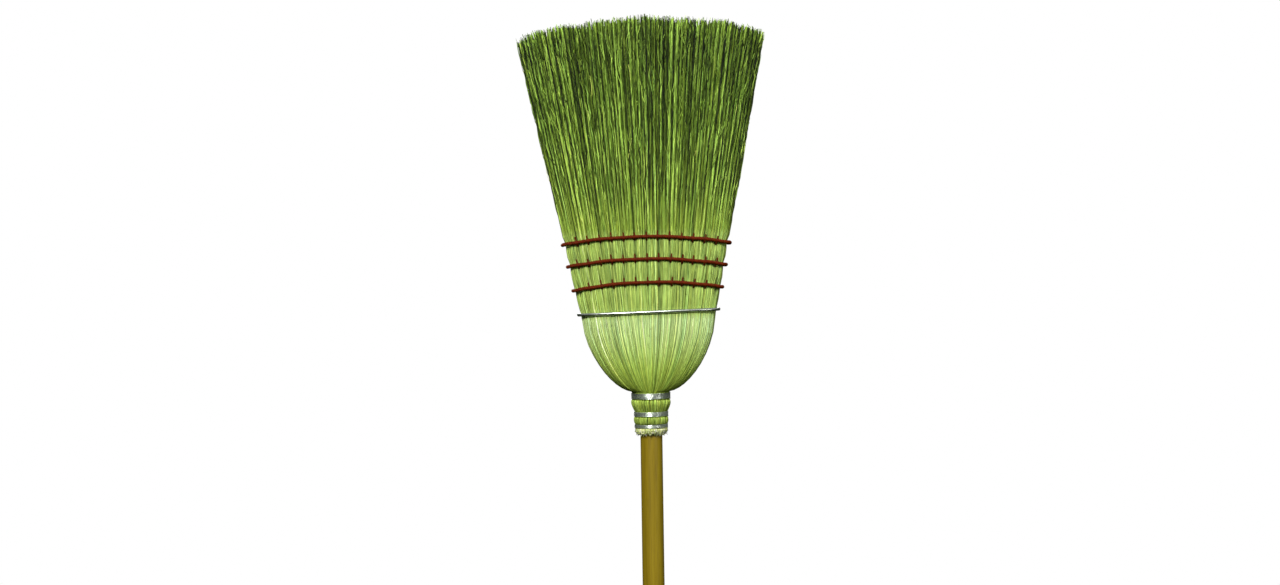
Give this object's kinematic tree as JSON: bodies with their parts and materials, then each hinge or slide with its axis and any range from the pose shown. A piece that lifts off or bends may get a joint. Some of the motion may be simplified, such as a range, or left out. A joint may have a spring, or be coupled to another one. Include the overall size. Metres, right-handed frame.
{
  "type": "corn broom",
  "caption": "Upright corn broom: flared flat head of natural straw, sewn with red twine, hooped and bound with wire to a round lacquered wooden handle.",
  "frame": {"origin": "centre of the flat on the handle's free end", "axes": "+Z along the handle from its free end to the straw tips; X is the head's width, with +X to the right as seen from the front; Y is the head's thickness, and the front faces -Y"},
  "size_m": [0.32, 0.0848, 1.4478],
  "materials": {
    "handle_wood": "clear lacquered, golden brown, satin gloss",
    "broomcorn": "dry natural broomcorn straw, pale green at the neck to darker green at the tips",
    "galvanised_wire": "bright galvanised steel wire",
    "stitch_twine": "dark red waxed twisted twine"
  },
  "bodies": {
    "root": {"handle": "handle_wood", "inside_corn_front": "broomcorn", "inside_corn_back": "broomcorn", "shoulder_corn_left": "broomcorn", "shoulder_corn_right": "broomcorn", "cover_corn_front_left": "broomcorn", "cover_corn_front_centre": "broomcorn", "cover_corn_front_right": "broomcorn", "cover_corn_back_left": "broomcorn", "cover_corn_back_centre": "broomcorn", "cover_corn_back_right": "broomcorn", "inner_binding_wire": "galvanised_wire", "neck_wire_lower": "galvanised_wire", "neck_wire_middle": "galvanised_wire", "neck_wire_upper": "galvanised_wire", "wire_hoop": "galvanised_wire", "wire_nails": "galvanised_wire", "stitch_twine_lower": "stitch_twine", "stitch_twine_middle": "stitch_twine", "stitch_twine_upper": "stitch_twine"}
  },
  "joints": []
}
